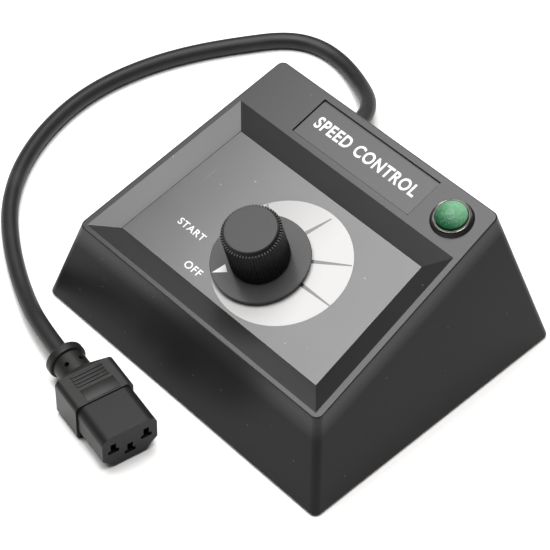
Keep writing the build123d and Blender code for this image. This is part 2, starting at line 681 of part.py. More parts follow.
PARTS = {
    "housing": make_housing,
    "base_plate": make_base_plate,
    "base_screws": make_base_screws,
    "feet": make_feet,
    "dial_plate": make_dial_plate,
    "name_plate": make_name_plate,
    "knob_skirt": make_knob_skirt,
    "knob": make_knob,
    "knob_cap": make_knob_cap,
    "knob_insert": make_knob_insert,
    "knob_set_screw": make_set_screw,
    "pot_shaft": make_pot_shaft,
    "pot_wiper": make_pot_wiper,
    "pot_bushing": make_pot_bushing,
    "pot_washer": make_pot_washer,
    "pot_nut": make_pot_nut,
    "pot_can": make_pot_can,
    "pot_track": make_pot_track,
    "pot_terminals": make_pot_terminals,
    "switch_case": make_switch_case,
    "switch_terminals": make_switch_terminals,
    "lamp_bezel": make_lamp_bezel,
    "lamp_ring": make_lamp_ring,
    "lamp_lens": make_lamp_lens,
    "lamp_nut": make_lamp_nut,
    "neon_bulb": make_neon_bulb,
    "lamp_leads": make_lamp_leads,
    "circuit_board": make_circuit_board,
    "board_screws": make_board_screws,
    "heat_sink": make_heat_sink,
    "triac": make_triac,
    "triac_screw": make_triac_screw,
    "choke_core": make_choke_core,
    "choke_winding": make_choke_winding,
    "capacitors": make_capacitors,
    "resistors": make_resistors,
    "terminal_block": make_terminal_block,
    "terminal_screws": make_terminal_screws,
    "fuse_clips": make_fuse_clips,
    "fuse": make_fuse,
    "inlet_shell": make_inlet_shell,
    "inlet_pins": make_inlet_pins,
    "inlet_screws": make_inlet_screws,
    "inlet_nuts": make_inlet_nuts,
    "output_leads": make_output_leads,
    "inlet_wires": make_inlet_wires,
    "lamp_wires": make_lamp_wires,
    "pot_wires": make_pot_wires,
    "switch_wires": make_switch_wires,
    "cord_gland": make_cord_gland,
    "cord": make_cord,
    "connector_body": make_connector_body,
    "connector_nose": make_connector_nose,
    "connector_contacts": make_connector_contacts,
}

os.makedirs("parts", exist_ok=True)
for name, make in PARTS.items():
    made = make()
    node = Compound(children=made) if isinstance(made, list) else made
    export_step(node, "parts/" + name + ".step")

path, radii = cord_path()
print("cord length", round(path.length, 1), "volume per section and length",
      round(make_cord().volume / (pi * (CORD_D / 2) ** 2 * path.length), 4))
print("cord radii", [round(r) for r in radii])
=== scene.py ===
# %% [markdown]
# # A tabletop dial speed control
# This lesson dresses a finished CAD model of a small bench control: a black wedge-shaped console with a
# knob, a green pilot lamp and a short output cord. The CAD part fixes every size and place. Blender adds
# what CAD is poor at: the fine grain of moulded plastic, printing, a prismatic lens and a cord that lies
# naturally.

# %% The frame
import json
from math import cos, pi, radians, sin

import bmesh
import bpy
from mathutils import Matrix, Vector


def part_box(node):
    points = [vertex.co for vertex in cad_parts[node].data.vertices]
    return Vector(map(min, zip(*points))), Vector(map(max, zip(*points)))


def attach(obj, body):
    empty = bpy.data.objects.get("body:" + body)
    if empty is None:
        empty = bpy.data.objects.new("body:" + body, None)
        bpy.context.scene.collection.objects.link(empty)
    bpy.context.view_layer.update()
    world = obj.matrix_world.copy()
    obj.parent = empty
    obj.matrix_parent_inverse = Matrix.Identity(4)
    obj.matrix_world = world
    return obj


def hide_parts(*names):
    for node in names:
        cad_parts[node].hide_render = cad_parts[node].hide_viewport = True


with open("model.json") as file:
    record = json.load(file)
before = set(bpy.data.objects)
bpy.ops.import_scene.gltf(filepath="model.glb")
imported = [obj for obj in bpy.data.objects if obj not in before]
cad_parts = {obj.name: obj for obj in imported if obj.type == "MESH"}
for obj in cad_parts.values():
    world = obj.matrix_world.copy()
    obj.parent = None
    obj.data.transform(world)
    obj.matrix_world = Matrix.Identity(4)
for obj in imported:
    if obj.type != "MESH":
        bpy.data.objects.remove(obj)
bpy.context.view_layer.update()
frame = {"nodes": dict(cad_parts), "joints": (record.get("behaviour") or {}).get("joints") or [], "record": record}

# %% [markdown]
# ## Where things are
# Most details sit on the sloping panel, so they are easiest to draw flat, in millimetres, with the knob's
# axis as the origin. A matrix then carries that drawing onto the panel. The joint in the frame gives the
# axis: it points into the panel, so the panel's normal is the other way. The connector gets a matrix of
# its own from its mount, with Z out of its face and Y up.

# %% Drawing planes for the panel and the connector
MM = 0.001
joint = frame["joints"][0]
mounts = {m["name"]: m for m in frame["record"]["mounts"]}


def drawing_plane(origin, across, out):
    """A matrix from millimetres on a flat drawing to metres on the object."""
    across, out = Vector(across).normalized(), Vector(out).normalized()
    up = out.cross(across)
    turn = Matrix((across, up, out)).transposed().to_4x4()
    return Matrix.Translation(origin) @ turn @ Matrix.Scale(MM, 4)


def middle(node):
    """The centre of a CAD node's box."""
    low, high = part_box(node)
    return (low + high) / 2


normal = -Vector(joint["axis"])
panel = drawing_plane(joint["pos_m"], (1, 0, 0), normal)
plug_out = Vector(mounts["output_connector"]["axis"])
plug = drawing_plane(mounts["output_connector"]["pos_m"], (-plug_out.y, plug_out.x, 0), plug_out)
print("knob axis meets the panel at", [round(c, 4) for c in panel.translation])

# %% [markdown]
# ## The camera
# The object is seen from the front right, about 48 degrees above the table, with a long lens that keeps
# the wedge's edges nearly parallel. The camera was held very slightly rolled.

# %% The camera
EYE = Vector((0.36254, -0.38798, 0.60897))
SIGHT = Vector((-0.46695, 0.48170, -0.74157))
LENS, ROLL, SENSOR = 133.56, 2.56, 36
NEAR, FAR = 0.01, 20

view_data = bpy.data.cameras.new("view")
view_data.lens, view_data.sensor_width = LENS, SENSOR
view_data.clip_start, view_data.clip_end = NEAR, FAR
view = bpy.data.objects.new("view", view_data)
bpy.context.collection.objects.link(view)
level = SIGHT.to_track_quat("-Z", "Y").to_matrix().to_4x4()
view.matrix_world = Matrix.Translation(EYE) @ level @ Matrix.Rotation(radians(ROLL), 4, "Z")
bpy.context.scene.camera = view
print("camera to panel, m", round((EYE - panel.translation).length, 3))

# %% [markdown]
# ## The output cord
# A short three-core cord leaves the back through a sleeve, drops to the table within a hand's width,
# swings round the left side in one lazy curve and rises into the connector. A NURBS curve suits it: the
# points are few, the line between them is smooth, and its order of 3 keeps it on the table where the
# points are. The thickness is written as each point's radius, because Blender counts that radius in the
# size of the curve's box.

# %% The cord's route and curve
CORD_D, CORD_Z = 7.1, 3.6
CORD_ORDER, STEPS_PER_POINT = 3, 10
ROUTE = [
    (-50.0, 71.0, 14.0), (-50.6, 88.0, 13.5), (-59.0, 100.5, 9.8), (-71.5, 109.0, 5.4),
    (-88.5, 115.5, CORD_Z), (-104.5, 115.5, CORD_Z), (-117.5, 108.0, CORD_Z), (-128.6, 90.0, CORD_Z),
    (-138.3, 71.5, CORD_Z), (-145.2, 52.5, CORD_Z), (-149.0, 32.5, CORD_Z), (-149.2, 14.5, CORD_Z),
    (-146.0, -3.0, CORD_Z), (-140.2, -19.5, CORD_Z), (-131.5, -35.0, CORD_Z), (-120.0, -48.5, CORD_Z),
    (-107.0, -58.8, CORD_Z), (-92.0, -68.0, CORD_Z), (-76.5, -75.7, 4.2), (-59.0, -83.0, 8.0),
    (-39.2, -87.0, 9.3),
]


def smooth_curve(name, points, radius):
    """A NURBS tube along millimetre control points; each point's radius is the tube's."""
    data = bpy.data.curves.new(name, "CURVE")
    data.dimensions = "3D"
    spline = data.splines.new("NURBS")
    spline.points.add(len(points) - 1)
    for point, place in zip(spline.points, points):
        point.co = (*(c * MM for c in place), 1)
        point.radius = radius * MM
    spline.order_u = CORD_ORDER
    spline.use_endpoint_u = True
    data.resolution_u = STEPS_PER_POINT
    data.bevel_depth = 1.0
    data.bevel_resolution = 8
    data.use_fill_caps = True
    made = bpy.data.objects.new(name, data)
    bpy.context.collection.objects.link(made)
    return made


cord = smooth_curve("output_cord", ROUTE, CORD_D / 2)
print("cord control points", len(ROUTE))


# %% [markdown]
# ## From a bmesh to a piece
# Every new piece ends in the same few steps. Its drawing in millimetres is carried to its place, so that
# the object itself stays at the origin. Faces point outwards, and wide angles stay sharp while shallow
# ones are smoothed. Last, the piece is hung on the body it rides on, and the CAD node it stands for, if
# any, is hidden.

# %% Keeping a piece
def keep(bm, name, body, slot, *stands_for, place=None, smooth=35):
    """Turns a bmesh drawn in millimetres into a piece that rides on a body."""
    bmesh.ops.transform(bm, matrix=place or Matrix.Scale(MM, 4), verts=bm.verts)
    bmesh.ops.recalc_face_normals(bm, faces=bm.faces)
    mesh = bpy.data.meshes.new(name)
    bm.to_mesh(mesh)
    bm.free()
    made = bpy.data.objects.new(name, mesh)
    bpy.context.collection.objects.link(made)
    mesh.shade_smooth()
    mesh.set_sharp_from_angle(angle=radians(smooth))
    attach(made, body)
    if stands_for:
        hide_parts(*stands_for)
    print(name, len(mesh.polygons), "faces")
    return made


# %% [markdown]
# ## Shader arithmetic
# Node trees read badly as lists of links. This small class wraps one output socket, so a mask can be
# written as ordinary arithmetic, and one method adds any other node.

# %% A socket with arithmetic
class Signal:
    """One output socket in a material, with arithmetic on values."""

    def __init__(self, tree, socket):
        self.tree, self.socket = tree, socket

    def node(self, kind, settings=None, inputs=None, out=0):
        """Adds a node: its settings, the values or links of its sockets, and which output is wanted."""
        made = self.tree.nodes.new("ShaderNode" + kind)
        for name, value in (settings or {}).items():
            setattr(made, name, value)
        for key, value in (inputs or {}).items():
            if isinstance(value, Signal):
                self.tree.links.new(value.socket, made.inputs[key])
            else:
                made.inputs[key].default_value = value
        return Signal(self.tree, made.outputs[out])

    def maths(self, operation, first, second, clamp=False):
        return self.node("Math", {"operation": operation, "use_clamp": clamp}, {0: first, 1: second})

    def __add__(self, other):
        return self.maths("ADD", self, other)

    def __sub__(self, other):
        return self.maths("SUBTRACT", self, other)

    def __rsub__(self, other):
        return self.maths("SUBTRACT", other, self)

    def __mul__(self, other):
        return self.maths("MULTIPLY", self, other)

    __radd__, __rmul__ = __add__, __mul__

    def above(self, limit, soft):
        """0 below the limit and 1 above it, with a soft edge."""
        return self.maths("MULTIPLY", self - limit, 1 / soft, clamp=True)

    def noise(self, scale, detail=2.0, rough=0.5):
        """A cloudy pattern between 0 and 1."""
        sockets = {"Vector": self, "Scale": scale, "Detail": detail, "Roughness": rough}
        return self.node("TexNoise", None, sockets)

    def cells(self, scale):
        """The distance to the nearest of many scattered points, small at each one."""
        return self.node("TexVoronoi", None, {"Vector": self, "Scale": scale})

    def along(self, way):
        """How far a place lies in one direction."""
        return self.node("VectorMath", {"operation": "DOT_PRODUCT"}, {0: self, 1: way}, 1)

    def blend(self, low, high):
        """Mixes two colours by this value."""
        return self.node("Mix", {"data_type": "RGBA"}, {0: self, 6: low, 7: high}, 2)

    def bump(self, strength, distance):
        """A normal that makes this value look like height."""
        return self.node("Bump", None, {"Height": self, "Strength": strength, "Distance": distance})


def grey(value, warm=0.0):
    """A grey that leans to yellow by a little."""
    return (value * (1 + warm), value, value * (1 - warm), 1)


# %% [markdown]
# ## Materials
# A finish wraps one material. Values that are the same everywhere are set on the shader's own sockets,
# and values that vary are links from masks. The masks grow from Object coordinates, so each pattern stays
# fixed to its piece.

# %% A finish, and putting it on
class Finish:
    """A new material with its shader, and the object's own coordinates to build masks on."""

    def __init__(self, name, **numbers):
        self.material = bpy.data.materials.new(name)
        self.material.use_nodes = True
        self.tree = self.material.node_tree
        self.shader = self.tree.nodes["Principled BSDF"]
        coordinates = self.tree.nodes.new("ShaderNodeTexCoord")
        self.here = Signal(self.tree, coordinates.outputs["Object"])
        self.set(**numbers)

    def set(self, **inputs):
        """Sets or links the shader's sockets, named with underscores for spaces."""
        for key, value in inputs.items():
            socket = self.shader.inputs[key.replace("_", " ")]
            if isinstance(value, Signal):
                self.tree.links.new(value.socket, socket)
            else:
                socket.default_value = value
        return self


def dress(finish, *names):
    """Gives a finish to CAD nodes or new pieces, by name."""
    for name in names:
        target = frame["nodes"].get(name) or bpy.data.objects[name]
        if not target.material_slots:
            target.data.materials.append(finish.material)
        for place in target.material_slots:
            place.material = finish.material
    print(finish.material.name, "on", ", ".join(names))


# %% [markdown]
# ## The floor
# A sheet of white paper lies under the object. It is wide enough to fill the view.

# %% The floor
FLOOR_HALF = 3.0
table = bmesh.new()
bmesh.ops.create_grid(table, x_segments=1, y_segments=1, size=FLOOR_HALF)
floor_mesh = bpy.data.meshes.new("floor")
table.to_mesh(floor_mesh)
table.free()
floor = bpy.data.objects.new("floor", floor_mesh)
bpy.context.collection.objects.link(floor)
print("floor", 2 * FLOOR_HALF, "m square")


# %% [markdown]
# ## Soft light
# An area light behaves like a studio's softbox: its size sets how soft the shadows are, and its shape is
# what glossy plastic mirrors. The sloping panel mirrors the air above and to the left of the object, so a
# large box hangs there and makes it pale. The left bevel mirrors a spot to the right, and a small box
# there lights it. The walls and the front bevel mirror neither and stay nearly black, which is what makes
# black plastic readable.

# %% The softboxes
def softbox(name, place, aim, size, depth, watts):
    """A rectangular area light that faces a spot."""
    data = bpy.data.lights.new(name, "AREA")
    data.shape, data.size, data.size_y, data.energy = "RECTANGLE", size, depth, watts
    box = bpy.data.objects.new(name, data)
    bpy.context.collection.objects.link(box)
    way = Vector(aim) - Vector(place)
    box.matrix_world = Matrix.Translation(place) @ way.to_track_quat("-Z", "Y").to_matrix().to_4x4()
    print(name, watts, "W")


OVERHEAD_AT, OVERHEAD_AIM = (-0.38, 0.02, 1.25), (-0.34, 0.02, 0.0)
CARD_AT, CARD_AIM = (0.22, -0.1, 1.2), (-0.05, 0.0, 0.05)
softbox("overhead", OVERHEAD_AT, OVERHEAD_AIM, size=1.6, depth=0.75, watts=32)
softbox("bevel_card", CARD_AT, CARD_AIM, size=0.3, depth=0.45, watts=8)

# %% [markdown]
# ## The room
# A weak grey world fills the shadows. The plain Standard view keeps the white paper white.

# %% The world
WORLD_LIGHT = 0.12
world = bpy.data.worlds.new("studio")
world.use_nodes = True
world.node_tree.nodes["Background"].inputs["Color"].default_value = (1, 1, 1, 1)
world.node_tree.nodes["Background"].inputs["Strength"].default_value = WORLD_LIGHT
bpy.context.scene.world = world
bpy.context.scene.view_settings.view_transform = "Standard"
print("world strength", WORLD_LIGHT)


# %% [markdown]
# ## Turned shapes
# Lenses, sleeves and rings are all half a profile turned about an axis. The spin operator does that: it
# sweeps the profile's edges round, and merging its last step onto the first leaves no seam. Points on the
# axis pile up during the sweep, so the doubles are merged afterwards.

# %% A profile turned about Z
SAME_POINT = 0.0005


def turned(profile, steps):
    """A bmesh from (radius, height) points in millimetres, turned a full circle."""
    bm = bmesh.new()
    points = [bm.verts.new((r, 0, z)) for r, z in profile]
    lines = [bm.edges.new(pair) for pair in zip(points, points[1:])]
    bmesh.ops.spin(bm, geom=points + lines, cent=(0, 0, 0), axis=(0, 0, 1), dvec=(0, 0, 0),
                   angle=2 * pi, steps=steps, use_merge=True, use_duplicate=False)
    bmesh.ops.remove_doubles(bm, verts=bm.verts, dist=SAME_POINT)
    return bm


def arc(radius, centre_z, start, end, count):
    """Profile points on a circle centred on the axis, by angle up from the horizontal."""
    steps = [radians(start + (end - start) * k / count) for k in range(count + 1)]
    return [(max(radius * cos(a), 0.0), centre_z + radius * sin(a)) for a in steps]


# %% [markdown]
# ## The strain relief
# The cord leaves the back wall through a flanged bush with a long flexible sleeve, cut by rings so that
# it bends in an even curve. It is turned as a straight piece first. Then each of its points is carried
# onto the cord's own line, read from the NURBS curve without its thickness, so sleeve and cord can't
# drift apart.

# %% Points along the cord's line
def line_points(curve):
    """The places along a curve's centre line, in millimetres."""
    thickness, curve.data.bevel_depth = curve.data.bevel_depth, 0.0
    bpy.context.view_layer.update()
    line = bpy.data.meshes.new_from_object(curve)
    curve.data.bevel_depth = thickness
    bpy.context.view_layer.update()
    places = [v.co / MM for v in line.vertices]
    bpy.data.meshes.remove(line)
    return places


centre_line = line_points(cord)
print("cord line", len(centre_line), "points,",
      round(sum((b - a).length for a, b in zip(centre_line, centre_line[1:]))), "mm")


# %% [markdown]
# ## Bending the sleeve
# A point at some distance along the straight sleeve goes to the same distance along the cord. Before the
# cord's first point the line simply runs straight on, back through the wall.

# %% Carrying a point along the cord
def carried(point, lead):
    """Where a point of the straight sleeve lands when it follows the cord, lead being its start."""
    left = point.z - lead
    for near, far in zip(centre_line, centre_line[1:]):
        span = (far - near).length
        if left <= span:
            break
        left -= span
    way = (far - near).normalized()
    side = way.cross(Vector((0, 0, 1))).normalized()
    return near + way * left + side * point.x + side.cross(way) * point.y


# %% [markdown]
# ## The sleeve's profile
# From inside to outside the bush has a shank in the wall, a flange against it, and six rings that get
# thinner towards the tip. Its bore is a close fit on the cord. The lead is the length of sleeve before
# the cord's first point.

# %% The sleeve
LEAD, BORE_R = 9.8, 3.6
SHANK_R, SHANK_START = 6.0, -7.0
FLANGE_R, FLANGE_LOW, FLANGE_HIGH, FLANGE_EDGE = 8.4, 2.7, 4.9, 0.3
RINGS, RING_START, RING_PITCH, RING_R, RING_TAPER = 6, 6.2, 2.7, 5.7, 0.2
RING_CUT, RING_END, CUT_START, CUT_END = 0.8, 1.4, 1.6, 2.4
TIP_START, TIP_END = 22.6, 23.2

sleeve_profile = [(BORE_R, SHANK_START), (SHANK_R, SHANK_START), (SHANK_R, FLANGE_LOW),
                  (FLANGE_R - FLANGE_EDGE, FLANGE_LOW), (FLANGE_R, FLANGE_LOW + FLANGE_EDGE),
                  (FLANGE_R, FLANGE_HIGH - 0.4), (FLANGE_R - FLANGE_EDGE, FLANGE_HIGH), (5.9, 5.3)]
for k in range(RINGS):
    z, r = RING_START + RING_PITCH * k, RING_R - RING_TAPER * k
    sleeve_profile += [(r, z), (r - 0.05, z + RING_END), (r - RING_CUT, z + CUT_START),
                       (r - RING_CUT, z + CUT_END)]
sleeve_profile += [(4.4, TIP_START), (4.2, TIP_END), (BORE_R, TIP_END), (BORE_R, SHANK_START)]
sleeve = turned(sleeve_profile, 48)
for v in sleeve.verts:
    v.co = carried(v.co, LEAD)
cord_sleeve = keep(sleeve, "cord_sleeve", "console", "cord_pvc", "cord_gland")

# %% [markdown]
# ## The printed dial
# The dial plate is a dark film with a pale off-centre disc: its rim is far from the knob where the speed
# is high and meets the skirt at the slow end. Ink has no depth worth the name, so the disc is a ring 0.04
# mm thick, bridged between a circle round the knob and the bigger circle that is set off to one side.

# %% The pale disc
INK = 0.04
DISC_AT, DISC_R, DISC_HOLE = (6.2, 4.6), 27.2, 16.5


def loop(bm, radius, at, height, count=160):
    """Adds a circle and gives its edges back."""
    made = bmesh.ops.create_circle(bm, cap_ends=False, radius=radius, segments=count,
                                   matrix=Matrix.Translation((*at, height)))
    return [e for e in bm.edges if all(v in made["verts"] for v in e.verts)]


disc = bmesh.new()
rims = [loop(disc, DISC_R, DISC_AT, 0), loop(disc, DISC_R, DISC_AT, INK),
        loop(disc, DISC_HOLE, (0, 0), INK), loop(disc, DISC_HOLE, (0, 0), 0)]
for first, second in zip(rims, rims[1:] + rims[:1]):
    bmesh.ops.bridge_loops(disc, edges=first + second)
keep(disc, "dial_disc", "console", "dial_print", place=panel)

# %% [markdown]
# ## Dividers and the start tick
# Four grey lines part the disc. Each is a thin wedge, broad at the skirt and fine at the rim, and all
# point at one spot a little off the knob's axis. A black square ends two of them at the skirt's edge, as
# painted shadow of the skirt, and a third, printed, marks the start.

# %% Flat ink shapes
def ink_shape(bm, corners, low, high, turn, about):
    """A flat outline with a little thickness, turned about the print's own centre."""
    face = bm.faces.new([bm.verts.new((u, v, low)) for u, v in corners])
    grown = bmesh.ops.extrude_face_region(bm, geom=[face])["geom"]
    raised = [g for g in grown if isinstance(g, bmesh.types.BMVert)]
    bmesh.ops.translate(bm, vec=(0, 0, high - low), verts=raised)
    spin = Matrix.Translation((*about, 0)) @ Matrix.Rotation(radians(turn), 4, "Z")
    bmesh.ops.transform(bm, matrix=spin, verts=list(face.verts) + raised)


# %% [markdown]
# ## Where the lines go
# Each line is given by its direction, in degrees from the panel's right, and by how far it reaches. Each
# square is given by its direction and its near and far sides.

# %% The dividers and squares
PRINT_AT = (-0.75, 2.1)
DIVIDERS = {132.0: 23.9, 73.7: 29.2, 32.6: 33.8, 1.1: 34.4}
# The first two squares are painted shadow at the skirt's edge; the last is the printed start tick.
SQUARES = ((32.6, 18.2, 19.2), (1.1, 19.2, 20.5), (-155.0, 19.6, 21.0))
LINE_START, LINE_HALF, LINE_TIP_HALF, SQUARE_HALF = 17.5, 0.85, 0.27, 0.7
LINE_INK, SQUARE_INK = 0.03, 0.05

lines = bmesh.new()
for turn, reach in DIVIDERS.items():
    wedge = [(LINE_START, -LINE_HALF), (reach, -LINE_TIP_HALF),
             (reach, LINE_TIP_HALF), (LINE_START, LINE_HALF)]
    ink_shape(lines, wedge, INK, INK + LINE_INK, turn, PRINT_AT)
keep(lines, "scale_lines", "console", "dial_print", place=panel)
ends = bmesh.new()
for turn, near, far in SQUARES:
    square = [(near, -SQUARE_HALF), (far, -SQUARE_HALF), (far, SQUARE_HALF), (near, SQUARE_HALF)]
    ink_shape(ends, square, INK, INK + SQUARE_INK, turn, PRINT_AT)
keep(ends, "start_tick_and_painted_shadows", "console", "dial_print", place=panel)


# %% [markdown]
# ## Lettering
# A text object is a quick way to true letter shapes. It is turned into a mesh, scaled to the width and
# height that the drawing asks for, and only then laid on the panel, so its object stays at the origin.
# The words are plain function names: START and OFF by the dial, and SPEED CONTROL on the plate.

# %% Words as thin solids
LETTER_SIZE, LETTER_GAP, LETTER_HALF = 10.0, 1.12, 0.02
SAME_LETTER_POINT = 0.0001


def lettering(words, box, base, weight):
    """Raised words that fill a box (left, right, low, high) on the panel's drawing, in millimetres."""
    left, right, low, high = box
    data = bpy.data.curves.new(words, "FONT")
    data.body, data.size, data.offset, data.resolution_u = words, LETTER_SIZE, weight, 6
    data.extrude, data.space_character = LETTER_HALF, LETTER_GAP
    text = bpy.data.objects.new(words, data)
    bpy.context.collection.objects.link(text)
    bpy.context.view_layer.update()
    flat = bpy.data.meshes.new_from_object(text)
    bpy.data.objects.remove(text)
    bm = bmesh.new()
    bm.from_mesh(flat)
    bpy.data.meshes.remove(flat)
    bmesh.ops.remove_doubles(bm, verts=bm.verts, dist=SAME_LETTER_POINT)
    us, vs = [v.co.x for v in bm.verts], [v.co.y for v in bm.verts]
    k, m = (right - left) / (max(us) - min(us)), (high - low) / (max(vs) - min(vs))
    fit = (Matrix.Translation((left, low, base + LETTER_HALF)) @ Matrix.Diagonal((k, m, 1, 1))
           @ Matrix.Translation((-min(us), -min(vs), 0)))
    bmesh.ops.transform(bm, matrix=fit, verts=bm.verts)
    return bm


# %% [markdown]
# ## The words
# The two words by the dial lie on the film. The name plate sits higher, so its words start from its own
# top.

# %% The three pieces of lettering
START_BOX, OFF_BOX = (-38.0, -24.1, -8.6, -5.6), (-22.3, -13.8, -20.4, -17.2)
NAME_BOX, PLATE_HALF = (-26.2, 26.4, 54.6, 60.2), 0.4
DIAL_WEIGHT, NAME_WEIGHT = 0.15, 0.26
keep(lettering("START", START_BOX, 0, DIAL_WEIGHT), "start_word", "console", "dial_print", place=panel)
keep(lettering("OFF", OFF_BOX, 0, DIAL_WEIGHT), "off_word", "console", "dial_print", place=panel)
plate_top = (panel.inverted() @ middle("name_plate")).z + PLATE_HALF
keep(lettering("SPEED CONTROL", NAME_BOX, plate_top, NAME_WEIGHT), "name_words", "console", "name_print",
     place=panel)

# %% [markdown]
# ## The pointer
# A white triangle printed on the skirt shows the setting. It rides on the dial, so it turns with the
# knob.

# %% The pointer
SKIRT_TOP, OFF_ANGLE = 2.5, -121.3
POINTER_TIP, POINTER_FOOT, POINTER_HALF = 18.9, 13.3, 1.85
mark = bmesh.new()
triangle = [(POINTER_TIP, 0), (POINTER_FOOT, POINTER_HALF), (POINTER_FOOT, -POINTER_HALF)]
ink_shape(mark, triangle, SKIRT_TOP, SKIRT_TOP + INK, OFF_ANGLE, (0, 0))
keep(mark, "pointer", "dial", "skirt_plastic", place=panel)

# %% [markdown]
# ## Teeth round the knob
# The grip's sixty ridges end in a row of small flat teeth round the cap. They are one small block, turned
# to each ridge in its turn.

# %% The teeth
TEETH, TOOTH_R, TOOTH_Z, TOOTH = 60, 10.95, 20.95, (1.3, 0.6, 1.1)
teeth = bmesh.new()
block = Matrix.Translation((TOOTH_R, 0, TOOTH_Z)) @ Matrix.Diagonal((*TOOTH, 1))
for k in range(TEETH):
    bmesh.ops.create_cube(teeth, size=1.0, matrix=Matrix.Rotation(2 * pi * k / TEETH, 4, "Z") @ block)
keep(teeth, "rim_teeth", "dial", "knob_plastic", place=panel)

# %% [markdown]
# ## The pilot lamp's lens
# The lens is a green dome whose inside is cut into small prisms, which scatter the neon's glow and
# sparkle in the room light. The dome is turned, and poking each of its faces outwards a little makes the
# prisms. The crown's own small faces are left flat, because poked triangles would leave a dimple there.

# %% The lens
LENS_R, LENS_LOW, LENS_EDGE, LENS_BORE = 6.05, 0.35, 3.0, 4.6
DOME_R, DOME_Z, DOME_END = 8.35, -2.7, 43.4
INNER_R, INNER_Z, INNER_END = 5.4, -1.5, 31.6
PRISM, BARE_CROWN, RING_HALF = 0.06, 1.3, 1.8

dome_top = arc(DOME_R, DOME_Z, 90, DOME_END, 9)
inner_top = arc(INNER_R, INNER_Z, INNER_END, 90, 6)
lens = turned(dome_top + [(LENS_R, LENS_EDGE), (LENS_R, LENS_LOW), (LENS_BORE, LENS_LOW)] + inner_top, 44)
bmesh.ops.recalc_face_normals(lens, faces=lens.faces)
upper = [f for f in lens.faces if f.calc_center_median().z > LENS_EDGE + 0.05 and f.normal.z > 0.3]
bmesh.ops.poke(lens, faces=[f for f in upper if f.calc_center_median().xy.length > BARE_CROWN], offset=PRISM)
lamp_base = drawing_plane(middle("lamp_ring") - normal * RING_HALF * MM, (1, 0, 0), normal)
keep(lens, "lamp_dome", "console", "lens_green", "lamp_lens", place=lamp_base, smooth=12)

# %% [markdown]
# ## The ring's bead
# The lamp's ring has a thin raised bead at the lens's foot, and light catches on it. A small closed
# profile, turned about the same axis, gives it.

# %% The bead
BEAD = [(6.85, 2.05), (6.95, 2.28), (7.15, 2.35), (7.35, 2.28), (7.45, 2.05), (7.15, 2.0), (6.85, 2.05)]
keep(turned(BEAD, 64), "lamp_bead", "console", "steel_bright", place=lamp_base)

# %% [markdown]
# ## Thumb ribs on the connector
# The soft grip has four low ribs across its top and a shallow plain pad in front of them. Small bars with
# rounded edges are enough: a cube, scaled and bevelled.

# %% A rounded bar
GRIP_TOP, GRIP_BACK = 9.3, -33.2


def bar(bm, width, height, length, at, round_off):
    """A block with softened edges, on the connector's drawing."""
    made = bmesh.ops.create_cube(bm, size=1.0, matrix=Matrix.Translation(at)
                                 @ Matrix.Diagonal((width, height, length, 1)))
    edges = list({e for v in made["verts"] for e in v.link_edges})
    bmesh.ops.bevel(bm, geom=edges, offset=round_off, segments=2, profile=0.5, affect="EDGES", material=-1)


# %% [markdown]
# ## Placing the bars
# The ribs stand a little above the grip and are spaced evenly from its back end. The pad is one wider,
# lower bar.

# %% Ribs and pad
RIBS, RIB_FIRST, RIB_PITCH, RIB_ROUND = 4, 1.6, 1.65, 0.22
PAD_SINK, PAD_FORWARD, PAD_ROUND = 0.06, 11.6, 0.09
ribs = bmesh.new()
for k in range(RIBS):
    bar(ribs, 13.6, 0.9, 0.95, (0, GRIP_TOP, GRIP_BACK + RIB_FIRST + RIB_PITCH * k), RIB_ROUND)
thumb_ribs = keep(ribs, "thumb_ribs", "console", "connector_pvc", place=plug)
pad = bmesh.new()
bar(pad, 14.2, 0.5, 6.0, (0.4, GRIP_TOP - PAD_SINK, GRIP_BACK + PAD_FORWARD), PAD_ROUND)
grip_pad = keep(pad, "grip_pad", "console", "connector_pvc", place=plug)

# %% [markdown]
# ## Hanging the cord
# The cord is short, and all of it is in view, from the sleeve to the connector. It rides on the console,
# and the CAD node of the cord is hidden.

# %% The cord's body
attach(cord, "console")
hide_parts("cord")

# %% [markdown]
# ## Moulded plastic
# Black plastic is never one flat black. The mould's surface leaves a fine grain, the gloss drifts slowly
# over a wide face, and dust settles on it. One recipe covers every moulded part: a broad cloud moves
# colour and gloss a little, a fine noise gives the grain as a bump, and a few cells of a Voronoi pattern
# become dust specks.

# %% The recipe for moulded plastic
GRAIN_HEIGHT = 0.0001


def moulded(name, value, rough, grain=1500.0, depth=0.25, tint=(1, 1, 1), dust=0.0, drift=0.06, gloss=0.3):
    """Moulded plastic of a given grey and roughness, with its grain, dust, drift of gloss and tint."""
    finish = Finish(name, Specular_IOR_Level=gloss)
    cloud = finish.here.noise(45.0, 3.0)
    low, high = [(*(value * k * t for t in tint), 1) for k in (0.85, 1.15)]
    colour = cloud.blend(low, high)
    if dust:
        specks = 1 - finish.here.cells(120.0).above(0.02, 0.03)
        colour = (specks * dust).blend(colour, grey(0.35))
    finish.set(Base_Color=colour, Roughness=cloud * (2 * drift) + (rough - drift),
               Normal=finish.here.noise(grain, 2.0).bump(depth, GRAIN_HEIGHT))
    return finish


# %% [markdown]
# ## The shell
# The walls are dull, but the top has been handled and wiped and shines more. That shine is a clear coat
# whose weight rises with the distance along the panel's normal, so it covers the top and its bevels and
# leaves the walls.

# %% The shell's plastic
SHINE_FROM, SHINE_OVER, SHINE = -5, 6, 0.45
shell = moulded("shell_black", 0.014, 0.33, grain=1100.0, depth=0.3, dust=0.2, gloss=0.1)
rise = shell.here.along(normal) - panel.translation.dot(normal)
shell.set(Coat_Roughness=0.3, Coat_Weight=rise.above(SHINE_FROM * MM, SHINE_OVER * MM) * SHINE)
dress(shell, "housing", "base_plate")

# %% [markdown]
# ## Knob, lamp body and connector
# These are all black, yet no two of them match. The grip is the darkest, the cap is a satin grey, the
# skirt is smooth, and the connector's soft grip is warmer than its hard nose.

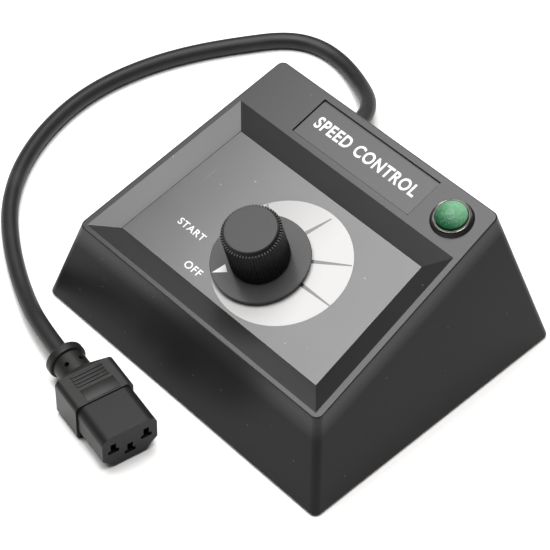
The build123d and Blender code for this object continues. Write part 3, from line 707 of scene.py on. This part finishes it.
# %% Black plastics
dress(moulded("knob_black", 0.006, 0.34, grain=2500.0, depth=0.1, gloss=0.2), "knob", "rim_teeth")
dress(moulded("cap_grey", 0.035, 0.36, grain=2600.0, depth=0.12, gloss=0.17), "knob_cap")
dress(moulded("skirt_black", 0.045, 0.2, grain=2600.0, depth=0.1, gloss=0.12, drift=0.03), "knob_skirt")
dress(moulded("lamp_black", 0.012, 0.3), "lamp_bezel", "lamp_nut")
dress(moulded("inlet_black", 0.018, 0.38), "inlet_shell")
dress(moulded("connector_soft", 0.012, 0.4, tint=(1.02, 1, 0.96), dust=0.2, gloss=0.2), "connector_body",
      "thumb_ribs", "grip_pad")
dress(moulded("connector_hard", 0.011, 0.36, gloss=0.14), "connector_nose")

# %% [markdown]
# ## Plastics inside
# The parts inside follow their usual colours: brown phenolic, a green terminal block, yellow capacitors.

# %% Coloured plastics
dress(moulded("switch_brown", 0.03, 0.45, tint=(1.2, 0.8, 0.55)), "switch_case")
dress(moulded("terminal_green", 0.12, 0.4, tint=(0.35, 1.25, 0.5)), "terminal_block")
dress(moulded("capacitor_yellow", 0.4, 0.35, tint=(1.2, 0.85, 0.18)), "capacitors")
dress(moulded("triac_black", 0.012, 0.5), "triac")
dress(moulded("ferrite_grey", 0.035, 0.6, grain=900.0), "choke_core")

# %% [markdown]
# ## Rubber and cord sheath
# Rubber and soft PVC are rougher than hard plastic and show a slower mottling, with a faint bloom where
# they have been handled.

# %% The recipe for rubber and sheath
def soft_sheath(name, value, rough, bloom=0.05, tint=(1, 1, 1), gloss=0.25):
    """Rubber or soft PVC, with a slow mottling and a faint bloom."""
    finish = Finish(name, Specular_IOR_Level=gloss)
    mottle = finish.here.noise(140.0, 4.0, 0.6)
    rub = finish.here.noise(28.0, 2.0).above(0.52, 0.25) * bloom
    colour = mottle.blend((*(value * 0.8 * t for t in tint), 1), (*(value * 1.25 * t for t in tint), 1))
    finish.set(Base_Color=rub.blend(colour, grey(0.4)), Roughness=mottle * 0.16 + (rough - 0.08),
               Normal=finish.here.noise(1700.0, 2.0).bump(0.2, GRAIN_HEIGHT))
    return finish


# %% [markdown]
# ## Feet, cord and wires
# The cord and its sleeve are one black. The wires inside carry the usual colours for their duty.

# %% Rubber, sheath and wire
dress(soft_sheath("foot_rubber", 0.02, 0.75), "feet")
dress(soft_sheath("cord_sheath", 0.012, 0.45), "output_cord", "cord_sleeve")
dress(soft_sheath("wire_blue_grey", 0.2, 0.45, tint=(0.5, 0.75, 1.2)), "inlet_wires", "pot_wires")
dress(soft_sheath("wire_brown", 0.12, 0.45, tint=(1.3, 0.7, 0.4)), "output_leads", "switch_wires")
dress(soft_sheath("wire_red", 0.25, 0.45, tint=(1.5, 0.25, 0.2)), "lamp_wires")


# %% [markdown]
# ## Metals
# Turned and plated parts carry fine marks from the tool. A noise squeezed along one axis, through a
# Mapping node, draws those marks, and the roughness follows them.

# %% The recipe for metal
def metal(name, colour, rough, squeeze=(400.0, 400.0, 4000.0)):
    """Metal with tool marks squeezed along one axis, and a little tarnish."""
    finish = Finish(name, Metallic=1.0)
    marks = finish.here.node("Mapping", None, {"Vector": finish.here, "Scale": squeeze}).noise(1.0, 3.0)
    tarnish = finish.here.noise(90.0, 3.0)
    dull = tuple(c * 0.75 for c in colour[:3]) + (1,)
    finish.set(Base_Color=tarnish.blend(dull, colour), Roughness=marks * 0.2 + (rough - 0.1),
               Normal=marks.bump(0.08, GRAIN_HEIGHT))
    return finish


# %% [markdown]
# ## Which metal is which
# Screws are zinc plated, contacts are brass, the shaft is bright steel and the heat sink is a grey alloy.
# The lamp's ring is chrome with its metal painted dark, a painted shade, and its bead gets a brighter
# metal, a painted highlight.

# %% Metals
dress(metal("zinc_plate", (0.62, 0.62, 0.6, 1), 0.35), "base_screws", "board_screws", "triac_screw",
      "inlet_screws", "inlet_nuts", "terminal_screws", "knob_set_screw", "pot_washer", "pot_nut")
dress(metal("brass", (0.75, 0.55, 0.25, 1), 0.3), "knob_insert", "pot_bushing", "inlet_pins", "fuse_clips",
      "pot_terminals", "switch_terminals")
# Painted light: the ring's chrome is painted dark as painted shade, and the bead is painted brighter as a painted
# highlight.
dress(metal("lamp_chrome", (0.045, 0.044, 0.04, 1), 0.32), "lamp_ring")
dress(metal("lamp_bead_painted_highlight", (0.12, 0.118, 0.11, 1), 0.25), "lamp_bead")
dress(metal("bright_steel", (0.72, 0.72, 0.72, 1), 0.22), "pot_shaft", "pot_can", "lamp_leads",
      "connector_contacts")
dress(metal("alloy", (0.5, 0.51, 0.53, 1), 0.4), "heat_sink")
dress(metal("enamelled_copper", (0.6, 0.24, 0.1, 1), 0.3, (1500.0, 1500.0, 1500.0)), "choke_winding")

# %% [markdown]
# ## The printed film
# The dial plate is a dark film under a clear gloss. It mirrors the softbox, so it reads mid grey, and
# every finger mark shows as a change of gloss. Fine scratches are a noise stretched hard along one
# direction and cut off high.

# %% The recipe for film
SCRATCH_WAY, SCRATCH_STRETCH = 38, (1400.0, 45.0, 45.0)


def film(name, value, rough, smear=0.1, scratch=0.07, gloss=0.46):
    """A dark glossy sheet with finger marks, fine scratches and specks."""
    finish = Finish(name, Specular_IOR_Level=gloss)
    smudge = finish.here.noise(22.0, 3.0, 0.6)
    stretch = {"Vector": finish.here, "Rotation": (0.0, 0.0, radians(SCRATCH_WAY)), "Scale": SCRATCH_STRETCH}
    scratches = finish.here.node("Mapping", None, stretch).noise(1.0, 2.0).above(0.72, 0.1)
    specks = 1 - finish.here.cells(90.0).above(0.015, 0.03)
    colour = smudge.blend(grey(value * 0.85), grey(value * 1.15))
    finish.set(Base_Color=(specks * 0.2 + scratches * scratch).blend(colour, grey(0.5)),
               Roughness=smudge * (2 * smear) + scratches * 0.1 + (rough - smear))
    return finish


# %% [markdown]
# ## The films
# The dial's film is the glossiest. The name plate is duller and less marked, and the circuit board is a
# laminate with the same kind of surface.

# %% Films
dress(film("dial_film", 0.04, 0.22), "dial_plate")
dress(film("name_film", 0.03, 0.36, 0.04, 0.02, 0.35), "name_plate")
dress(film("board_laminate", 0.1, 0.4), "circuit_board")


# %% [markdown]
# ## Ink and pale parts
# White ink is slightly off white and a little uneven where it was screened. Plain matt parts, such as
# paper and resistors, use the same recipe.

# %% The recipe for ink
def ink(name, low, high, rough=0.45):
    """An even grey that drifts between two values."""
    finish = Finish(name)
    patch = finish.here.noise(70.0, 3.0)
    finish.set(Base_Color=patch.blend(grey(low, 0.01), grey(high, 0.01)),
               Roughness=patch * 0.1 + (rough - 0.05),
               Normal=finish.here.noise(3000.0, 1.0).bump(0.05, 0.00005))
    return finish


# %% [markdown]
# ## The disc's ink
# The disc is greyer at the slow end on the left: its colour runs from grey to white along X, with a light
# mist of unevenness.

# %% The disc
DISC_GREY, DISC_WHITE = 0.23, 0.41
pale = Finish("disc_ink", Roughness=0.45, Specular_IOR_Level=0.2)
mist = pale.here.noise(60.0, 3.0)
grey_to_white_ramp = pale.here.along((1, 0, 0)) * 22.0 + 0.62 + mist * 0.1
pale.set(Base_Color=grey_to_white_ramp.above(0.0, 1.0).blend(grey(DISC_GREY, 0.015), grey(DISC_WHITE, 0.01)))
dress(pale, "dial_disc")

# %% [markdown]
# ## The other inks
# The words and the pointer are white, the dividers a dark grey and the squares black. Two of the squares
# are painted shadow at the skirt's edge, and the third is the printed start tick.

# %% Inks and matt parts
dress(ink("white_ink", 0.5, 0.55), "start_word", "off_word", "name_words", "pointer")
dress(ink("grey_ink", 0.09, 0.12), "scale_lines")
dress(ink("black_ink_and_painted_shadow", 0.015, 0.025), "start_tick_and_painted_shadows")
dress(ink("carbon_track", 0.03, 0.05, 0.5), "pot_track")
dress(ink("phenolic_hub", 0.1, 0.13, 0.5), "pot_wiper")
dress(ink("resistor_tan", 0.4, 0.5), "resistors")
dress(ink("white_paper", 0.78, 0.78, 0.9), "floor")

# %% [markdown]
# ## The green lens
# The lens passes some light and scatters the rest. Its colour holds painted light: a painted highlight
# makes it pale green at the edge that leans up the slope, and painted shade makes it deep green at the
# lower edge, broken up by painted glints. A weak glow stands for the neon behind it.

# %% The lens's finish
LENS_SHADED, LENS_LIT = (0.003, 0.06, 0.022, 1), (0.13, 0.3, 0.17, 1)
LIT_TOP_FROM, LIT_TOP_SPAN = -2.5, 8.0
green = Finish("lens_green", Roughness=0.38, Specular_IOR_Level=0.25, Emission_Strength=0.05)
# These cells give the prisms' bumps and, in the colour, painted glints.
prism_bumps_and_painted_glints = green.here.cells(1700.0)
veins = green.here.noise(900.0, 2.0)
uphill = (normal + 2 * panel.col[1].xyz.normalized()).normalized()
# Painted light: the colour is painted paler towards the upper edge and darker towards the lower edge.
painted_light_ramp = (green.here.along(uphill) - lamp_base.translation.dot(uphill) - LIT_TOP_FROM * MM) * (1 / (LIT_TOP_SPAN * MM))
tone = (painted_light_ramp * 0.8 + prism_bumps_and_painted_glints * 0.5 + veins * 0.3 - 0.35).above(0.0, 1.0).blend(LENS_SHADED, LENS_LIT)
green.set(Base_Color=tone, Emission_Color=tone, Normal=prism_bumps_and_painted_glints.bump(0.35, 0.0004))
dress(green, "lamp_dome")

# %% [markdown]
# ## Clear glass
# The neon bulb and the fuse are clear glass with a faint haze.

# %% Glass
glass = Finish("clear_glass", Transmission_Weight=0.9)
haze = glass.here.noise(200.0, 2.0)
glass.set(Base_Color=haze.blend((0.85, 0.9, 0.88, 1), (0.95, 0.97, 0.96, 1)), Roughness=haze * 0.1)
dress(glass, "neon_bulb", "fuse")
